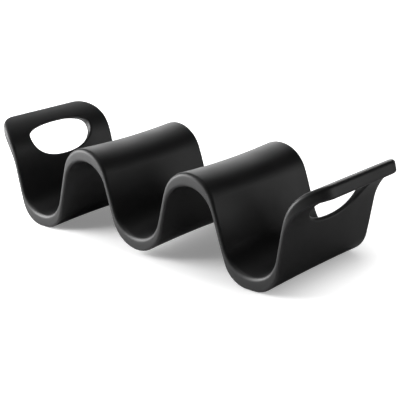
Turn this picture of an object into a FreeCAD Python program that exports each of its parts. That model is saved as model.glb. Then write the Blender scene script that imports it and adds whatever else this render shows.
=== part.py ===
import FreeCAD, Part
import math
import os
from FreeCAD import Vector

# A holder for three filled tacos, moulded in one piece: a wavy sheet with three troughs and
# two crests, whose end walls rise past the crests and flare outward into two handles.
# Millimetres, +X along the row of troughs, +Y across it, +Z up.
# The origin is in the middle of the rectangle under the holder, on the table.

# Row of troughs; the bends grow and shrink with the pitch so that they always meet
pitch = 70.0                  # from the middle trough to each outer trough
crest_offset = 0.494 * pitch  # from the middle trough to each crest
width = 68.4                  # across the holder, from edge to edge
bend_thickness = 6.5          # upright thickness of the sheet at troughs and crests
middle_raise = 2.7            # the middle trough hangs this much above the table
foot_width = 4.0              # flat strip under each outer trough

# Underside of the sheet
under_outer_radius = 0.194 * pitch  # outer troughs, beside the flat strip
under_middle_radius = 0.24 * pitch
under_crest_radius = 0.21 * pitch   # inside the arches
under_crest_height = 41.0           # from the table to the top of each arch

# Upper side of the sheet
upper_trough_radius = 0.22 * pitch
upper_crest_radius = 0.227 * pitch

# Handles
wall_angle = 78.4             # slope of the end walls in degrees
upper_wall_rise = 16.8        # straight part of an end wall, on its inside
under_wall_rise = 18.3        # and on its outside
upper_flare_radius = 22.5     # bend of the wall into the lip, on its upper side
under_flare_radius = 22.3     # and on its underside
lip_angle = 14.5              # slope of the lip at its end in degrees
lip_straight = 1.6            # straight part of the lip, on its underside
wall_extra = 0.7              # the end walls are this much thicker than a raised sheet
corner_along = 20.0           # lip corner, measured along the sheet
corner_across = 12.8          # lip corner, measured across the sheet

# Finger holes
hole_width = 41.4
hole_above = 5.8              # from the widest line up to the upper rim
hole_below = 12.7             # from the widest line down to the lower rim
hole_back = 13.1              # from the end of the lip back to the widest line
hole_tilt = 21.4              # the holes run outward and down at this angle in degrees
hole_bluntness = 2.24         # 2 would make the rim of two half ellipses

upper_rim_round = 1.2         # rounding of the rims on the upper side
lower_rim_bevel = 0.5         # bevel of the rims on the underside and of the finger holes
sharp_angle = 30.0            # faces that meet at more than this have a sharp edge between them
touching = 0.001
hole_points = 16
corner_points_count = 8
reach = 4.0 * pitch           # longer than the holder


def polar(degrees):
    angle = math.radians(degrees)
    return Vector(math.cos(angle), 0.0, math.sin(angle))


def flipped(point):
    return Vector(-point.x, point.y, point.z)


def arc(centre, radius, start_degrees, end_degrees):
    middle_degrees = 0.5 * (start_degrees + end_degrees)
    angles = (start_degrees, middle_degrees, end_degrees)
    return [centre + polar(angle) * radius for angle in angles]


def leaving_angle(trough, trough_radius, crest, crest_radius):
    """Angle in degrees at which the straight flank leaves the trough circle."""
    apart = crest - trough
    share = (trough_radius + crest_radius) / apart.Length
    return math.degrees(math.atan2(apart.z, apart.x) - math.acos(share))


def wave_side(upper):
    """Stretches of one side of the sheet, from the middle trough to the right outer one."""
    lift = bend_thickness if upper else 0.0
    middle_radius = upper_trough_radius if upper else under_middle_radius
    outer_radius = upper_trough_radius if upper else under_outer_radius
    crest_radius = upper_crest_radius if upper else under_crest_radius
    half_foot = 0.0 if upper else 0.5 * foot_width
    middle = Vector(0.0, 0.0, middle_raise + lift + middle_radius)
    crest = Vector(crest_offset, 0.0, under_crest_height + lift - crest_radius)
    outer = Vector(pitch - half_foot, 0.0, lift + outer_radius)
    inward = leaving_angle(middle, middle_radius, crest, crest_radius)
    outward = 180.0 - leaving_angle(flipped(outer), outer_radius, flipped(crest), crest_radius)
    rising = [middle + polar(inward) * middle_radius, crest - polar(inward) * crest_radius]
    falling = [crest - polar(outward) * crest_radius, outer + polar(outward) * outer_radius]
    return [
        arc(middle, middle_radius, -90.0, inward),
        rising,
        arc(crest, crest_radius, inward + 180.0, outward - 180.0),
        falling,
        arc(outer, outer_radius, outward, 270.0),
    ]


def wall_bends(upper):
    """Stretches of one side of the right end wall, from the outer trough to its lip."""
    lift = bend_thickness if upper else 0.0
    base_radius = upper_trough_radius - wall_extra if upper else under_outer_radius
    wall_rise = upper_wall_rise if upper else under_wall_rise
    flare_radius = upper_flare_radius if upper else under_flare_radius
    half_foot = 0.0 if upper else 0.5 * foot_width
    base = Vector(pitch + half_foot, 0.0, lift + base_radius)
    wall_start = base + polar(wall_angle - 90.0) * base_radius
    wall_end = wall_start + polar(wall_angle) * wall_rise
    flare = wall_end + polar(wall_angle - 90.0) * flare_radius
    return [
        arc(base, base_radius, -90.0, wall_angle - 90.0),
        [wall_start, wall_end],
        arc(flare, flare_radius, wall_angle + 90.0, lip_angle + 90.0),
    ]


def under_lip_length():
    """Straight part of the lip's underside; its upper side keeps at least half as much."""
    upper_lead = wall_bends(True)[-1][-1] - wall_bends(False)[-1][-1]
    return max(lip_straight, polar(lip_angle).dot(upper_lead) + 0.5 * lip_straight)


def wall_side(upper):
    """Stretches of one side of the right end wall, from the outer trough to the lip's end."""
    lip = polar(lip_angle)
    bends = wall_bends(upper)
    lip_start = bends[-1][-1]
    lip_end = lip_start + lip * under_lip_length()
    if upper:
        lip_end = lip_start + lip * lip.dot(wall_side(False)[-1][-1] - lip_start)
    return bends + [[lip_start, lip_end]]


def whole_side(upper):
    """One side of the sheet from its left end to its right end."""
    right = wave_side(upper)
    if not upper:
        right.append([right[-1][-1], wall_side(False)[0][0]])
    right += wall_side(upper)
    left = [[flipped(point) for point in reversed(part)] for part in reversed(right)]
    bottom = [left[-1][0], right[0][0], right[0][-1]]
    return left[:-1] + [bottom] + right[1:]


def edge_of(part):
    if len(part) == 2:
        return Part.makeLine(part[0], part[1])
    return Part.Arc(part[0], part[1], part[2]).toShape()


def wavy_sheet():
    """The sheet with square edges, a little wider than the holder."""
    under = whole_side(False)
    upper = [list(reversed(part)) for part in reversed(whole_side(True))]
    ends = [[under[-1][-1], upper[0][0]], [upper[-1][-1], under[0][0]]]
    outline = Part.Wire([edge_of(part) for part in under + ends[:1] + upper + ends[1:]])
    face = Part.Face(outline)
    face.translate(Vector(0.0, -width, 0.0))
    return face.extrude(Vector(0.0, 2.0 * width, 0.0))


def under_point(back):
    """Point of the right wall's underside, this far back along the sheet from the lip end."""
    wall_end = wall_side(False)[1][1]
    lip_end = wall_side(False)[3][1]
    straight = under_lip_length()
    if back < straight:
        return lip_end - polar(lip_angle) * back
    turned = math.degrees((back - straight) / under_flare_radius)
    if turned < wall_angle - lip_angle:
        flare = wall_end + polar(wall_angle - 90.0) * under_flare_radius
        return flare + polar(lip_angle + turned + 90.0) * under_flare_radius
    down = back - straight - math.radians(wall_angle - lip_angle) * under_flare_radius
    return wall_end - polar(wall_angle) * down


def corner_curve(side):
    """A lip corner from the long edge to the lip: a quarter ellipse laid on the bent sheet."""
    end = wall_side(False)[3][1]
    through = polar(lip_angle + 90.0)
    points = []
    for step in range(corner_points_count + 1):
        turn = 0.5 * math.pi * step / corner_points_count
        point = under_point(corner_along * (1.0 - math.sin(turn)))
        across = 0.5 * width - corner_across * (1.0 - math.cos(turn))
        laid = point - through * through.dot(point - end)
        points.append(Vector(laid.x, side * across, laid.z))
    curve = Part.BSplineCurve()
    curve.interpolate(points, InitialTangent=polar(lip_angle), FinalTangent=Vector(0, -side, 0))
    return curve, points[0], points[-1]


def outline_block():
    """Everything inside the right lip end, its corners and the two long edges."""
    through = polar(lip_angle + 90.0)
    front_curve, front_start, front_end = corner_curve(-1.0)
    back_curve, back_start, back_end = corner_curve(1.0)
    far_front = front_start - polar(lip_angle) * reach
    far_back = back_start - polar(lip_angle) * reach
    outline = Part.Wire([
        Part.makeLine(far_front, front_start),
        front_curve.toShape(),
        Part.makeLine(front_end, back_end),
        back_curve.toShape(),
        Part.makeLine(back_start, far_back),
        Part.makeLine(far_back, far_front),
    ])
    face = Part.Face(outline)
    face.translate(through * -reach)
    return face.extrude(through * (2.0 * reach))


def blunted(share):
    """Share of an oval's half width or height, for the cosine or sine of the turn round it."""
    return math.copysign(abs(share) ** (2.0 / hole_bluntness), share)


def hole_block():
    """Finger hole of the right wall: a blunt oval that is deeper below its widest line."""
    through = polar(-hole_tilt)
    up = polar(90.0 - hole_tilt)
    start = under_point(hole_back) - through * (0.5 * pitch)
    points = []
    for step in range(hole_points):
        turn = 2.0 * math.pi * step / hole_points
        height = hole_above if math.sin(turn) > 0.0 else hole_below
        across = Vector(0.0, 0.5 * hole_width * blunted(math.cos(turn)), 0.0)
        points.append(start + across + up * (height * blunted(math.sin(turn))))
    curve = Part.BSplineCurve()
    curve.interpolate(points, PeriodicFlag=True)
    return Part.Face(Part.Wire(curve.toShape())).extrude(through * pitch)


def mirrored(shape):
    return shape.mirror(Vector(0, 0, 0), Vector(1, 0, 0))


def both_sides(shape):
    return [shape, mirrored(shape)]


def normals_beside(shape, edge):
    """Outward directions of the faces that meet along an edge, taken at its middle."""
    middle = edge.valueAt(0.5 * (edge.FirstParameter + edge.LastParameter))
    normals = []
    for face in shape.ancestorsOfType(edge, Part.Face):
        u, v = face.Surface.parameter(middle)
        normals.append(face.normalAt(u, v))
    return normals


def sharp_edges(shape):
    found = []
    for edge in shape.Edges:
        normals = normals_beside(shape, edge)
        if len(normals) == 2 and math.degrees(normals[0].getAngle(normals[1])) > sharp_angle:
            found.append(edge)
    return found


def upper_rims(shape, holes):
    """Sharp edges on the sheet's upper side, away from the finger holes."""
    found = []
    for edge in sharp_edges(shape):
        first, second = normals_beside(shape, edge)
        if first.z + second.z < 0.0:
            continue
        if min(edge.distToShape(hole)[0] for hole in holes) > touching:
            found.append(edge)
    return found


def taco_holder():
    body = wavy_sheet()
    for block in both_sides(outline_block()):
        body = body.common(block)
    holes = both_sides(hole_block())
    for hole in holes:
        body = body.cut(hole)
    body = body.Solids[0]
    rounded = body.makeFillet(upper_rim_round, upper_rims(body, holes))
    return rounded.makeChamfer(lower_rim_bevel, sharp_edges(rounded))


os.makedirs("parts", exist_ok=True)
taco_holder().exportStep("parts/taco_holder.step")
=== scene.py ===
import math

import bmesh
import bpy
import numpy as np
from bpy.props import FloatProperty, FloatVectorProperty, PointerProperty
from mathutils import Matrix, Vector


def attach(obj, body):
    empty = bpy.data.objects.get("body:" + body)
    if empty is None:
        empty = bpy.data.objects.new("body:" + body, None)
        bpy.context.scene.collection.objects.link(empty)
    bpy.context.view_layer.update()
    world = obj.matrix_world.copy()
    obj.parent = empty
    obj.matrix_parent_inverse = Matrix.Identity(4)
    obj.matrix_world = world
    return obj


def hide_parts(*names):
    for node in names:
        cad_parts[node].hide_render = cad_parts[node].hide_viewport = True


bl_info = {
    "name": "Taco Holder",
    "version": (1, 0, 0),
    "blender": (4, 5, 0),
    "location": "3D View > Sidebar > Taco Holder",
    "description": "A wavy moulded sheet with three troughs and two handles, and its studio",
    "category": "Add Mesh",
}

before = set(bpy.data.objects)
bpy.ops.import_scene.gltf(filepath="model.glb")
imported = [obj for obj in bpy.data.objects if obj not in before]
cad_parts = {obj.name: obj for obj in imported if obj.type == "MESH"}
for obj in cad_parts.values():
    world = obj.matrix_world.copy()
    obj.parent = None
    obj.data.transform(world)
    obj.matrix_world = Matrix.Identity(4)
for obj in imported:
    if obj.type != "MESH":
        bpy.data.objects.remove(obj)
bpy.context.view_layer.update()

# Mesh
RIM_STEPS = 7            # faces round each rim
SIDE_STEPS = 3           # faces between the two roundings of a rim
ACROSS_STEPS = 24        # faces across the sheet between the rims
EDGE_STEPS = 10          # faces along each long edge of a handle
CORNER_STEPS = 14        # faces round each lip corner
LIP_STEPS = 20           # faces along the lip end
RING_STEPS = 8           # rings between a finger hole and the outline of its handle
ROW_SPACING = 0.0009     # most distance between rows of faces along the sheet
ROW_GAP = 0.0002         # least distance from the handle's own faces to the next row
RIM_MARGIN = 1.15        # plain faces begin this many roundings inward from a rim
HOLE_MARGIN = 1.25       # and this many roundings outward from a finger hole
WELD = 1e-6              # points closer than this become one
RAIL_SPACING = 0.00004   # spacing of the points that stand for the outline's arcs and lines
GAUGE_STEP = 12          # the sheet's thickness is measured at each twelfth of those points
HANDLE_REACH = 1.3       # a finger hole lies within this many handle depths of the lip end

# Roundings of the rims
UPPER_SHARE = 0.50       # largest share of the sheet's thickness that an upper rounding takes
UNDER_SHARE = 0.36       # and that a lower rounding takes
SHARE_POWER = 4.0        # with a higher value these limits set in more suddenly

# Moulded plastic
PLASTIC_IOR = 1.5
PATCH_SCALE = 45.0       # faint patches in tint and gloss
PATCH_DETAIL = 5.0
PATCH_RANGE = (0.3, 0.7)  # noise values between which the gloss changes
GLOSS_SPREAD = 0.05      # change of the roughness in the patches, up and down
TINT_RANGE = (0.75, 1.35)  # darkest and lightest patch, as shares of the colour
GRAIN_SCALE = 2600.0
GRAIN_DETAIL = 2.0
GRAIN_STRENGTH = 0.5

# Studio
FLOOR_ROUGHNESS = 0.7
FLOOR_SHINE = 0.2
FLOOR_GAP = 0.00005      # the floor lies this far under the feet
LAMP_AIM = 0.02          # height of the point at which the lamps look


def length(name, description, default):
    return FloatProperty(
        name=name, description=description, default=default, unit="LENGTH", subtype="DISTANCE"
    )


def angle(name, description, degrees):
    return FloatProperty(
        name=name, description=description, default=math.radians(degrees), subtype="ANGLE"
    )


def colour(name, description, value):
    return FloatVectorProperty(
        name=name, description=description, default=value, subtype="COLOR", min=0.0, max=1.0
    )


def power(name, description, watts):
    return FloatProperty(name=name, description=description, default=watts, min=0.0, unit="POWER")


class HolderSettings(bpy.types.PropertyGroup):
    """Sizes of the wavy sheet, its handles and its finish"""

    pitch: length("Pitch", "From the middle trough to each outer trough", 0.070)
    crest_offset: length("Crest offset", "From the middle trough to each crest", 0.03458)
    width: length("Width", "Across the holder, from edge to edge", 0.0684)
    bend_thickness: length("Thickness", "Upright thickness at troughs and crests", 0.0065)
    middle_raise: length("Middle raise", "Gap between the middle trough and the table", 0.0027)
    foot_width: length("Foot width", "Flat strip under each outer trough", 0.004)
    under_outer_radius: length("Outer radius below", "Bend under an outer trough", 0.01358)
    under_middle_radius: length("Middle radius below", "Bend under the middle trough", 0.0168)
    under_crest_radius: length("Crest radius below", "Bend inside an arch", 0.0147)
    under_crest_height: length("Arch height", "From the table to the top of an arch", 0.0410)
    upper_trough_radius: length("Trough radius above", "Bend inside a trough", 0.0154)
    upper_crest_radius: length("Crest radius above", "Bend on top of a crest", 0.01589)
    crest_sag: length("Crest sag", "Dip of each crest line halfway across", 0.0014)
    foot_rise: length("Foot rise", "Rise of each trough line halfway across", 0.0013)
    foot_reach: length("Foot reach", "The rise ends this far outside an outer trough", 0.018)
    wall_angle: angle("Wall angle", "Slope of the end walls", 78.4)
    upper_wall_rise: length("Wall rise above", "Straight part of an end wall, inside", 0.0168)
    under_wall_rise: length("Wall rise below", "Straight part of an end wall, outside", 0.0183)
    wall_extra: length("Wall extra", "How much the end walls are thicker", 0.0007)
    upper_flare_radius: length("Flare above", "Bend of an end wall into its lip", 0.0225)
    under_flare_radius: length("Flare below", "Bend of the wall under its lip", 0.0223)
    lip_angle: angle("Lip angle", "Slope of the lip at its end", 14.5)
    lip_straight: length("Lip straight", "Straight part of the lip's underside", 0.0016)
    corner_along: length("Corner along", "Lip corner, measured along the sheet", 0.0200)
    corner_across: length("Corner across", "Lip corner, measured across the sheet", 0.0128)
    hole_width: length("Hole width", "Widest line of a finger hole", 0.0414)
    hole_above: length("Hole above", "From the widest line to the upper rim", 0.0058)
    hole_below: length("Hole below", "From the widest line to the lower rim", 0.0127)
    hole_back: length("Hole back", "From the lip end back to the widest line", 0.0131)
    hole_tilt: angle("Hole tilt", "How far the holes run downward on their way out", 21.4)
    hole_bluntness: FloatProperty(
        name="Hole bluntness", description="2 makes the rim of two half ellipses", default=2.24
    )
    upper_round: length("Upper rim", "Rounding of the rims on the upper side", 0.0020)
    under_round: length("Lower rim", "Rounding of the rims on the underside", 0.0012)
    hole_round: length("Hole rim", "Rounding of the finger holes' rims", 0.0010)
    handle_depth: length("Handle depth", "How far the handle's own faces reach down", 0.040)
    sheet_colour: colour("Colour", "Colour of the moulded plastic", (0.010, 0.010, 0.0105))
    sheen: FloatProperty(name="Roughness", description="Roughness of the satin finish", default=0.46)
    grain_depth: length("Grain depth", "Height of the moulded grain", 0.00001)


class StudioSettings(bpy.types.PropertyGroup):
    """The floor, the lamps and the camera"""

    floor_size: length("Floor size", "Side of the square floor", 6.0)
    floor_colour: colour("Floor colour", "Colour of the floor", (0.9, 0.9, 0.9))
    # Painted shade on the floor: to the camera the floor glows white only faintly in a patch round the
    # holder and fully beyond it, so the patch looks shaded
    painted_shade_glow: FloatProperty(
        name="Floor glow", description="White added to the floor under the holder", default=0.23
    )
    shade_length: length("Shade length", "Half the floor's shaded patch, along the row", 0.066)
    shade_width: length("Shade width", "Half the floor's shaded patch, across the row", 0.024)
    shade_fade: length("Shade fade", "From the edge of the patch to plain white floor", 0.042)
    left_power: power("Left lamp", "The soft lamp close by on the left", 3.4)
    back_power: power("Back lamp", "The large soft lamp behind the holder", 3.5)
    right_power: power("Right lamp", "The weak soft lamp on the right", 1.4)
    top_power: power("Top lamp", "The soft lamp overhead", 0.9)
    world_level: FloatProperty(name="Room", description="Light from all round", default=0.03)
    camera_place: FloatVectorProperty(
        name="Camera", description="Where the camera stands", default=(0.3440, -0.3602, 0.1815),
        unit="LENGTH", subtype="TRANSLATION",
    )
    camera_turn: angle("Camera turn", "Heading of the camera, to the left of straight ahead", 42.785)
    camera_tilt: angle("Camera tilt", "How far the camera looks down", 18.080)
    camera_roll: angle("Camera roll", "Turn of the camera about its line of sight", -1.98)
    camera_lens: FloatProperty(name="Lens", description="Focal length in millimetres", default=94.992)
    film_width: FloatProperty(name="Film", description="Width of the film in millimetres", default=36.0)


def ray(turn):
    return np.array((math.cos(turn), math.sin(turn)))


def arc(centre, radius, start, end):
    steps = max(2, int(abs(end - start) * radius / RAIL_SPACING))
    turns = np.linspace(start, end, steps + 1)
    return centre + radius * np.column_stack((np.cos(turns), np.sin(turns)))


def line(start, end):
    steps = max(2, int(np.linalg.norm(end - start) / RAIL_SPACING))
    return start + (end - start) * np.linspace(0.0, 1.0, steps + 1)[:, None]


def leaving_turn(trough, trough_radius, crest, crest_radius):
    """Direction from the trough's centre in which the straight flank leaves the trough."""
    apart = crest - trough
    share = (trough_radius + crest_radius) / np.linalg.norm(apart)
    return math.atan2(apart[1], apart[0]) - math.acos(share)


def wave_stretches(sizes, upper):
    """One side of the sheet in lines and arcs, from the middle trough to the right one."""
    lift = sizes.bend_thickness if upper else 0.0
    middle_radius = sizes.upper_trough_radius if upper else sizes.under_middle_radius
    outer_radius = sizes.upper_trough_radius if upper else sizes.under_outer_radius
    crest_radius = sizes.upper_crest_radius if upper else sizes.under_crest_radius
    half_foot = 0.0 if upper else 0.5 * sizes.foot_width
    middle = np.array((0.0, sizes.middle_raise + lift + middle_radius))
    crest = np.array((sizes.crest_offset, sizes.under_crest_height + lift - crest_radius))
    outer = np.array((sizes.pitch - half_foot, lift + outer_radius))
    mirror = np.array((-1.0, 1.0))
    quarter = 0.5 * math.pi
    inward = leaving_turn(middle, middle_radius, crest, crest_radius)
    outward = math.pi - leaving_turn(outer * mirror, outer_radius, crest * mirror, crest_radius)
    bend = arc(outer, outer_radius, outward, 3.0 * quarter)
    if not upper:
        bend = np.vstack((bend, line(bend[-1], np.array((sizes.pitch, lift)))[1:]))
    return [
        arc(middle, middle_radius, -quarter, inward),
        line(middle + ray(inward) * middle_radius, crest - ray(inward) * crest_radius),
        arc(crest, crest_radius, inward + math.pi, outward - math.pi),
        line(crest - ray(outward) * crest_radius, outer + ray(outward) * outer_radius),
        bend,
    ]


def wall_stretches(sizes, upper):
    """One side of the right end wall in lines and arcs, from the outer trough to the lip."""
    lift = sizes.bend_thickness if upper else 0.0
    base_radius = sizes.upper_trough_radius - sizes.wall_extra if upper else sizes.under_outer_radius
    wall_rise = sizes.upper_wall_rise if upper else sizes.under_wall_rise
    flare_radius = sizes.upper_flare_radius if upper else sizes.under_flare_radius
    half_foot = 0.0 if upper else 0.5 * sizes.foot_width
    quarter = 0.5 * math.pi
    base = np.array((sizes.pitch + half_foot, lift + base_radius))
    wall_start = base + ray(sizes.wall_angle - quarter) * base_radius
    wall_end = wall_start + ray(sizes.wall_angle) * wall_rise
    flare = wall_end + ray(sizes.wall_angle - quarter) * flare_radius
    lip_start = flare + ray(sizes.lip_angle + quarter) * flare_radius
    lip_length = sizes.lip_straight
    if upper:
        under_end = wall_stretches(sizes, False)[-1][-1]
        lip_length = float((under_end - lip_start) @ ray(sizes.lip_angle))
    bend = arc(base, base_radius, -quarter, sizes.wall_angle - quarter)
    if not upper:
        bend = np.vstack((line(np.array((sizes.pitch, lift)), bend[0])[:-1], bend))
    return [
        bend,
        line(wall_start, wall_end),
        arc(flare, flare_radius, sizes.wall_angle + quarter, sizes.lip_angle + quarter),
        line(lip_start, lip_start + ray(sizes.lip_angle) * lip_length),
    ]


class Rail:
    """One side of the sheet, measured back from the lip end to the middle trough."""

    def __init__(self, sizes, upper):
        stretches = wave_stretches(sizes, upper) + wall_stretches(sizes, upper)
        points = [stretches[0]] + [part[1:] for part in stretches[1:]]
        ends = np.cumsum([len(part) for part in points]) - 1
        points = np.vstack(points)
        steps = np.linalg.norm(np.diff(points, axis=0), axis=1)
        along = np.concatenate(((0.0,), np.cumsum(steps)))
        tangent = np.gradient(points, along, axis=0)
        tangent /= np.linalg.norm(tangent, axis=1)[:, None]
        side = 1.0 if upper else -1.0
        self.sizes = sizes
        self.back = (along[-1] - along)[::-1]
        self.points = points[::-1]
        self.outward = np.column_stack((-tangent[:, 1], tangent[:, 0]))[::-1] * side
        self.joins = np.append((along[-1] - along[ends])[::-1], along[-1])
        self.rounding = None

    def at(self, table, back):
        return np.stack([np.interp(back, self.back, table[:, i]) for i in (0, 1)], axis=-1)

    def place(self, back, across, drop):
        """Points of the sheet this far back from the lip end and across, sunk by the drop."""
        flat = self.at(self.points, back)
        normal = self.at(self.outward, back)
        normal = normal / np.linalg.norm(normal, axis=-1)[..., None]
        flat = flat - normal * np.asarray(drop)[..., None]
        dip = self.dip(flat[..., 0], across)
        return np.stack((flat[..., 0], np.broadcast_to(across, dip.shape), flat[..., 1] - dip), axis=-1)

    def dip(self, along, across):
        """How far the sheet bows down between its edges: the troughs bow up instead."""
        sizes = self.sizes
        turn = math.pi * np.clip(along / (sizes.pitch - 0.5 * sizes.foot_width), 0.0, 1.0)
        fade = np.clip((along - sizes.pitch) / sizes.foot_reach, 0.0, 1.0)
        rise = sizes.foot_rise * np.cos(turn) ** 2 * np.cos(0.5 * math.pi * fade) ** 2
        bow = 1.0 - (2.0 * across / sizes.width) ** 2
        return (sizes.crest_sag * np.sin(turn) ** 2 - rise) * bow

    def round_at(self, back):
        return np.interp(back, self.back, self.rounding)


def smooth_least(first, second):
    """The lesser of two values, with a gradual change from one to the other."""
    return (first ** -SHARE_POWER + second ** -SHARE_POWER) ** (-1.0 / SHARE_POWER)


def set_roundings(upper, under, sizes):
    """The rims are rounded less where the sheet is thin, on the flanks and end walls."""
    for rail, other, most, share in (
        (upper, under, sizes.upper_round, UPPER_SHARE),
        (under, upper, sizes.under_round, UNDER_SHARE),
    ):
        gauge = other.points[::GAUGE_STEP]
        thickness = []
        for point in rail.points[::GAUGE_STEP]:
            thickness.append(np.linalg.norm(gauge - point, axis=1).min())
        thickness = np.interp(rail.back, rail.back[::GAUGE_STEP], np.array(thickness))
        rail.rounding = smooth_least(np.full(len(thickness), most), thickness * share)


def rim_profile():
    """Shares of the rounding inward from the rim and of the drop, from rim to sheet."""
    turns = np.linspace(0.0, 0.5 * math.pi, RIM_STEPS + 1)
    return 1.0 - np.cos(turns), 1.0 - np.sin(turns)


def matching(upper, under, back):
    """Distance back on the upper side that matches one on the underside."""
    return np.interp(back, under.joins, upper.joins)


def row_places(upper, under, deepest):
    """Distances back of the rows on the underside and upper side, from handle to middle."""
    pairs = []
    for i in range(len(under.joins) - 1):
        under_span = under.joins[i + 1] - under.joins[i]
        upper_span = upper.joins[i + 1] - upper.joins[i]
        share = np.linspace(0.0, 1.0, max(1, math.ceil(under_span / ROW_SPACING)) + 1)
        under_back = under.joins[i] + share * under_span
        upper_back = upper.joins[i] + share * upper_span
        pairs.append(np.column_stack((under_back, upper_back))[(1 if i else 0):])
    pairs = np.vstack(pairs)
    first = [deepest, matching(upper, under, deepest)]
    return np.vstack((first, pairs[pairs[:, 0] > deepest + ROW_GAP]))


def across_rows(rail, back, sizes, margin):
    """Places across the sheet and drops for each row, from the front rim to the back."""
    inward, drop = rim_profile()
    rounding = rail.round_at(back)[:, None]
    half = 0.5 * sizes.width
    front = -half + rounding * inward[None, :]
    sunk = rounding * drop[None, :]
    middle = np.linspace(-half + margin, half - margin, ACROSS_STEPS + 1)
    middle = np.broadcast_to(middle, (len(back), len(middle)))
    across = np.hstack((front, middle, -front[:, ::-1]))
    drops = np.hstack((sunk, 0.0 * middle, sunk[:, ::-1]))
    return across, drops


def handle_outline(sizes, corner, deepest):
    """The rim of a handle, round its lip: distance back and place across, and way inward."""
    half = 0.5 * sizes.width
    edge = np.linspace(deepest, corner, EDGE_STEPS + 1)[:-1]
    turns = 0.5 * math.pi * np.linspace(0.0, 1.0, CORNER_STEPS + 1)
    back = np.concatenate((edge, corner * (1.0 - np.sin(turns))))
    across = np.concatenate((
        np.full(len(edge), half), half - sizes.corner_across * (1.0 - np.cos(turns))
    ))
    way = np.column_stack((
        np.concatenate((0.0 * edge, sizes.corner_across * np.sin(turns))),
        np.concatenate((-np.ones(len(edge)), -corner * np.cos(turns))),
    ))
    way /= np.linalg.norm(way, axis=1)[:, None]
    lip = np.linspace(across[-1], -across[-1], LIP_STEPS + 1)[1:-1]
    back = np.concatenate((back, 0.0 * lip, back[::-1]))
    across = np.concatenate((across, lip, -across[::-1]))
    lip_way = np.column_stack((np.ones(len(lip)), 0.0 * lip))
    way = np.vstack((way, lip_way, way[::-1] * (1.0, -1.0)))
    return np.column_stack((back, across)), way


def hole_up(sizes):
    """Direction square to the way through a hole, in which its height is measured."""
    return ray(0.5 * math.pi - sizes.hole_tilt)


def hole_level(under, sizes):
    """Height of a hole's widest line in that direction."""
    return float(under.at(under.points, np.array(sizes.hole_back)) @ hole_up(sizes))


def back_at_level(rail, levels, sizes):
    """Distances back from the lip end at which the handle passes these levels."""
    near = rail.back < sizes.handle_depth * HANDLE_REACH
    return np.interp(-levels, -(rail.points[near] @ hole_up(sizes)), rail.back[near])


def blunted(shares, sizes):
    """Shares of an oval's half width or height, for the cosines or sines of the turns."""
    return np.sign(shares) * np.abs(shares) ** (2.0 / sizes.hole_bluntness)


def hole_outline(rail, under, sizes, turns):
    """The rim of a finger hole on one side of the wall, at these turns round it, and the way out."""
    sine, cosine = blunted(np.sin(turns), sizes), blunted(np.cos(turns), sizes)
    heights = np.where(sine > 0.0, sizes.hole_above, sizes.hole_below) * sine
    back = back_at_level(rail, hole_level(under, sizes) + heights, sizes)
    outline = np.column_stack((back, 0.5 * sizes.hole_width * cosine))
    along = np.roll(outline, -1, axis=0) - np.roll(outline, 1, axis=0)
    away = np.column_stack((along[:, 1], -along[:, 0]))
    away /= np.linalg.norm(away, axis=1)[:, None]
    reversed_ways = np.sum(away * (outline - outline.mean(axis=0)), axis=1) < 0.0
    away[reversed_ways] *= -1.0
    return outline, away


def handle_band(rail, rim, way, margin):
    """Rows of points from the rim of a handle inward, to the edge of its plain faces."""
    inward, drop = rim_profile()
    rounding = rail.round_at(rim[:, 0])
    band = []
    for i in range(RIM_STEPS + 1):
        at = rim + way * (rounding * inward[i])[:, None]
        band.append(rail.place(at[:, 0], at[:, 1], rounding * drop[i]))
    inner = rim + way * margin
    band.append(rail.place(inner[:, 0], inner[:, 1], 0.0 * rounding))
    return np.array(band)


def hole_rings(rail, under, sizes, loop, deepest, margin):
    """Rings of points from a finger hole out to a loop, the edge of the handle's plain faces."""
    inward, drop = rim_profile()
    centre = float(back_at_level(rail, hole_level(under, sizes), sizes))
    rise = centre - loop[:, 0]
    rise = np.where(rise > 0.0, rise / (centre - margin), rise / (deepest - centre))
    turns = np.arctan2(rise, loop[:, 1] / (0.5 * sizes.width - margin))
    hole, away = hole_outline(rail, under, sizes, turns)
    rings = []
    for i in range(RIM_STEPS + 1):
        at = hole + away * (sizes.hole_round * inward[i])
        rings.append(rail.place(at[:, 0], at[:, 1], np.full(len(at), sizes.hole_round * drop[i])))
    near = hole + away * (sizes.hole_round * HOLE_MARGIN)
    for share in np.linspace(0.0, 1.0, RING_STEPS + 1):
        at = near + (loop - near) * share
        rings.append(rail.place(at[:, 0], at[:, 1], 0.0 * at[:, 0]))
    return np.array(rings)


def handle_grids(rail, under, sizes, deepest, corner, margin):
    """Faces of one side of the handle: a band along its rim and rings round its hole."""
    rim, way = handle_outline(sizes, corner, deepest)
    half = 0.5 * sizes.width - margin
    base = np.linspace(-half, half, ACROSS_STEPS + 1)[1:-1]
    loop = np.vstack((rim + way * margin, np.column_stack((np.full(len(base), deepest), base))))
    rings = hole_rings(rail, under, sizes, loop, deepest, margin)
    return handle_band(rail, rim, way, margin), rings


def wall_between(first, second):
    """Rows of points that join two matching rims."""
    shares = np.linspace(0.0, 1.0, SIDE_STEPS + 1)
    return np.array([first + (second - first) * share for share in shares])


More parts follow.
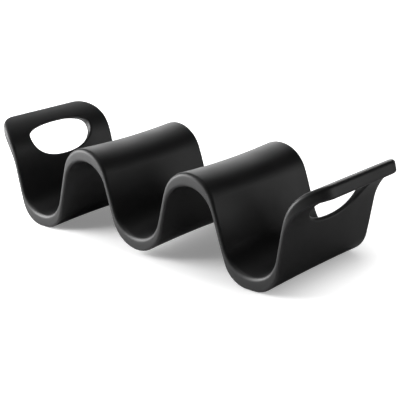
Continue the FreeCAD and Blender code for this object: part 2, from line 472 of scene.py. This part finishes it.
def half_holder_grids(sizes):
    """Grids of points for the right half of the holder, each with whether it is closed."""
    upper, under = Rail(sizes, True), Rail(sizes, False)
    set_roundings(upper, under, sizes)
    margin = sizes.upper_round * RIM_MARGIN
    under_marks = np.array((sizes.handle_depth, sizes.corner_along))
    rows = row_places(upper, under, sizes.handle_depth)
    grids = []
    rims = []
    for rail, back, marks in (
        (upper, rows[:, 1], matching(upper, under, under_marks)),
        (under, rows[:, 0], under_marks),
    ):
        across, drops = across_rows(rail, back, sizes, margin)
        sheet = rail.place(np.broadcast_to(back[:, None], across.shape), across, drops)
        sheet[-1, :, 0] = 0.0
        band, rings = handle_grids(rail, under, sizes, *marks, margin)
        grids += [(sheet, False), (band, False), (rings, True)]
        rims.append((sheet[:, 0], sheet[:, -1], band[0], rings[0]))
    for top, bottom, closed in zip(rims[0], rims[1], (False, False, False, True)):
        grids.append((wall_between(top, bottom), closed))
    return grids


def add_grid(mesh, grid, closed=False):
    """Adds the faces of a grid of points; a closed one joins its last column to its first."""
    verts = [[mesh.verts.new(point) for point in row] for row in grid]
    columns = len(verts[0])
    for row, below in zip(verts, verts[1:]):
        for i in range(columns if closed else columns - 1):
            j = (i + 1) % columns
            mesh.faces.new((row[i], row[j], below[j], below[i]))


def holder_mesh(sizes):
    """The whole holder: its right half and the mirror image, welded in the middle trough."""
    mesh = bmesh.new()
    for grid, closed in half_holder_grids(sizes):
        for sign in (1.0, -1.0):
            add_grid(mesh, grid * (sign, 1.0, 1.0), closed)
    bmesh.ops.remove_doubles(mesh, verts=mesh.verts, dist=WELD)
    bmesh.ops.recalc_face_normals(mesh, faces=mesh.faces)
    for face in mesh.faces:
        face.smooth = True
    data = bpy.data.meshes.new("taco_holder_sheet")
    mesh.to_mesh(data)
    mesh.free()
    return data


def node(tree, kind, inputs=None, **settings):
    """Adds a shader node with these settings, and these values on its inputs."""
    made = tree.nodes.new(kind)
    for name, value in settings.items():
        setattr(made, name, value)
    for name, value in (inputs or {}).items():
        made.inputs[name].default_value = value
    return made


def sheet_material(settings):
    """Satin moulded plastic with a fine grain and slightly uneven gloss."""
    material = bpy.data.materials.new("satin_plastic")
    material.use_nodes = True
    tree = material.node_tree
    shader = tree.nodes["Principled BSDF"]
    shader.inputs["IOR"].default_value = PLASTIC_IOR
    darkest, lightest = [[share * part for part in settings.sheet_colour] for share in TINT_RANGE]
    place = node(tree, "ShaderNodeTexCoord")
    patches = node(tree, "ShaderNodeTexNoise", {"Scale": PATCH_SCALE, "Detail": PATCH_DETAIL})
    spread = node(tree, "ShaderNodeMapRange", {
        "From Min": PATCH_RANGE[0],
        "From Max": PATCH_RANGE[1],
        "To Min": settings.sheen - GLOSS_SPREAD,
        "To Max": settings.sheen + GLOSS_SPREAD,
    })
    tint = node(tree, "ShaderNodeMix", {"A": (*darkest, 1.0), "B": (*lightest, 1.0)}, data_type="RGBA")
    grain = node(tree, "ShaderNodeTexNoise", {"Scale": GRAIN_SCALE, "Detail": GRAIN_DETAIL})
    bump = node(tree, "ShaderNodeBump", {"Strength": GRAIN_STRENGTH, "Distance": settings.grain_depth})
    join = tree.links.new
    join(place.outputs["Object"], patches.inputs["Vector"])
    join(place.outputs["Object"], grain.inputs["Vector"])
    join(patches.outputs["Fac"], spread.inputs["Value"])
    join(spread.outputs["Result"], shader.inputs["Roughness"])
    join(patches.outputs["Fac"], tint.inputs["Factor"])
    join(tint.outputs["Result"], shader.inputs["Base Color"])
    join(grain.outputs["Fac"], bump.inputs["Height"])
    join(bump.outputs["Normal"], shader.inputs["Normal"])
    return material


class TACOHOLDER_OT_sheet(bpy.types.Operator):
    """Build the wavy sheet with its two handles"""

    bl_idname = "taco_holder.sheet"
    bl_label = "Wavy Sheet"

    def execute(self, context):
        settings = context.scene.taco_holder
        sheet = bpy.data.objects.new("taco_holder_sheet", holder_mesh(settings))
        context.scene.collection.objects.link(sheet)
        sheet.data.materials.append(sheet_material(settings))
        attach(sheet, "root")
        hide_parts("taco_holder")
        return {"FINISHED"}


def floor_material(settings):
    """White table that keeps the shadow, with painted shade as well: to the camera it glows only
    faintly in a patch round the holder, which deepens the shadow there, and plain white further out,
    which hides the shadow there.
    """
    material = bpy.data.materials.new("floor_white_painted_shade")
    material.use_nodes = True
    tree = material.node_tree
    shader = tree.nodes["Principled BSDF"]
    shader.inputs["Base Color"].default_value = (*settings.floor_colour, 1.0)
    shader.inputs["Roughness"].default_value = FLOOR_ROUGHNESS
    shader.inputs["Specular IOR Level"].default_value = FLOOR_SHINE
    shader.inputs["Emission Color"].default_value = (1.0, 1.0, 1.0, 1.0)
    # Painted shade: the patch round the holder where the floor's white glow is least, given by half its
    # length and width
    patch = (settings.shade_length, settings.shade_width, 0.0)
    place = node(tree, "ShaderNodeTexCoord")
    size = node(tree, "ShaderNodeVectorMath", operation="ABSOLUTE")
    beyond = node(tree, "ShaderNodeVectorMath", {1: patch}, operation="SUBTRACT")
    outside = node(tree, "ShaderNodeVectorMath", {1: (0.0, 0.0, 0.0)}, operation="MAXIMUM")
    distance = node(tree, "ShaderNodeVectorMath", operation="LENGTH")
    # The glow rises from its least value, the painted shade under the holder, to full white at the end
    # of the patch's fade
    spread = node(tree, "ShaderNodeMapRange", interpolation_type="SMOOTHSTEP")
    spread.inputs["From Max"].default_value = settings.shade_fade
    spread.inputs["To Min"].default_value = settings.painted_shade_glow
    path = node(tree, "ShaderNodeLightPath")
    glow = node(tree, "ShaderNodeMath", operation="MULTIPLY")
    join = tree.links.new
    join(place.outputs["Object"], size.inputs["Vector"])
    join(size.outputs["Vector"], beyond.inputs[0])
    join(beyond.outputs["Vector"], outside.inputs[0])
    join(outside.outputs["Vector"], distance.inputs["Vector"])
    join(distance.outputs["Value"], spread.inputs["Value"])
    join(spread.outputs["Result"], glow.inputs[0])
    join(path.outputs["Is Camera Ray"], glow.inputs[1])
    join(glow.outputs["Value"], shader.inputs["Emission Strength"])
    return material


def add_floor(context, settings):
    half = 0.5 * settings.floor_size
    data = bpy.data.meshes.new("floor")
    corners = [(along * half, across * half, -FLOOR_GAP) for along, across in
               ((-1.0, -1.0), (1.0, -1.0), (1.0, 1.0), (-1.0, 1.0))]
    data.from_pydata(corners, [], [(0, 1, 2, 3)])
    floor = bpy.data.objects.new("floor", data)
    context.scene.collection.objects.link(floor)
    data.materials.append(floor_material(settings))


def add_lamp(context, name, watts, heading, rise, distance, side):
    """A square soft lamp in this direction from the holder, in degrees, that looks at it."""
    heading, rise = math.radians(heading), math.radians(rise)
    way = Vector((
        math.cos(heading) * math.cos(rise), math.sin(heading) * math.cos(rise), math.sin(rise)
    ))
    data = bpy.data.lights.new(name, "AREA")
    data.shape = "SQUARE"
    data.size = side
    data.energy = watts
    lamp = bpy.data.objects.new(name, data)
    lamp.location = Vector((0.0, 0.0, LAMP_AIM)) + way * distance
    lamp.rotation_euler = way.to_track_quat("Z", "Y").to_euler()
    context.scene.collection.objects.link(lamp)


def add_lamps(context, settings):
    add_lamp(context, "left_lamp", settings.left_power, heading=218, rise=18, distance=0.42, side=0.30)
    add_lamp(context, "back_lamp", settings.back_power, heading=128, rise=15, distance=0.85, side=0.72)
    add_lamp(context, "right_lamp", settings.right_power, heading=32, rise=8, distance=0.90, side=0.50)
    add_lamp(context, "top_lamp", settings.top_power, heading=180, rise=85, distance=0.80, side=0.60)


def set_world(context, level):
    """A room that looks white to the camera and gives the holder a little even light."""
    world = bpy.data.worlds.new("white_room")
    world.use_nodes = True
    tree = world.node_tree
    ground = tree.nodes["Background"]
    ground.inputs["Color"].default_value = (1.0, 1.0, 1.0, 1.0)
    path = node(tree, "ShaderNodeLightPath")
    brightness = node(tree, "ShaderNodeMapRange", {"To Min": level, "To Max": 1.0})
    tree.links.new(path.outputs["Is Camera Ray"], brightness.inputs["Value"])
    tree.links.new(brightness.outputs["Result"], ground.inputs["Strength"])
    context.scene.world = world


def add_camera(context, settings):
    turn, tilt = settings.camera_turn, settings.camera_tilt
    ahead = Vector((
        -math.sin(turn) * math.cos(tilt), math.cos(turn) * math.cos(tilt), -math.sin(tilt)
    ))
    right = Vector((math.cos(turn), math.sin(turn), 0.0))
    rotation = Matrix((right, right.cross(ahead), -ahead)).transposed()
    data = bpy.data.cameras.new("camera")
    data.lens = settings.camera_lens
    data.sensor_width = settings.film_width
    camera = bpy.data.objects.new("camera", data)
    camera.matrix_world = (
        Matrix.Translation(settings.camera_place)
        @ rotation.to_4x4()
        @ Matrix.Rotation(settings.camera_roll, 4, "Z")
    )
    context.scene.collection.objects.link(camera)
    context.scene.camera = camera


class TACOHOLDER_OT_studio(bpy.types.Operator):
    """Build the floor, the lamps and the camera"""

    bl_idname = "taco_holder.studio"
    bl_label = "Studio"

    def execute(self, context):
        settings = context.scene.taco_holder_studio
        add_floor(context, settings)
        add_lamps(context, settings)
        set_world(context, settings.world_level)
        add_camera(context, settings)
        context.scene.view_settings.view_transform = "Standard"
        return {"FINISHED"}


class TACOHOLDER_PT_panel(bpy.types.Panel):
    """Lists the steps that build the taco holder and its studio"""

    bl_label = "Taco Holder"
    bl_idname = "TACOHOLDER_PT_panel"
    bl_space_type = "VIEW_3D"
    bl_region_type = "UI"
    bl_category = "Taco Holder"

    def draw(self, context):
        for settings, operator in (
            (context.scene.taco_holder, TACOHOLDER_OT_sheet),
            (context.scene.taco_holder_studio, TACOHOLDER_OT_studio),
        ):
            box = self.layout.box()
            for name in settings.bl_rna.properties.keys():
                if name not in ("rna_type", "name"):
                    box.prop(settings, name)
            box.operator(operator.bl_idname)


CLASSES = (
    HolderSettings,
    StudioSettings,
    TACOHOLDER_OT_sheet,
    TACOHOLDER_OT_studio,
    TACOHOLDER_PT_panel,
)


def register():
    for cls in CLASSES:
        bpy.utils.register_class(cls)
    bpy.types.Scene.taco_holder = PointerProperty(type=HolderSettings)
    bpy.types.Scene.taco_holder_studio = PointerProperty(type=StudioSettings)


def unregister():
    del bpy.types.Scene.taco_holder
    del bpy.types.Scene.taco_holder_studio
    for cls in reversed(CLASSES):
        bpy.utils.unregister_class(cls)


def main():
    register()
    bpy.ops.taco_holder.sheet()
    bpy.ops.taco_holder.studio()


if __name__ == "__main__":
    main()
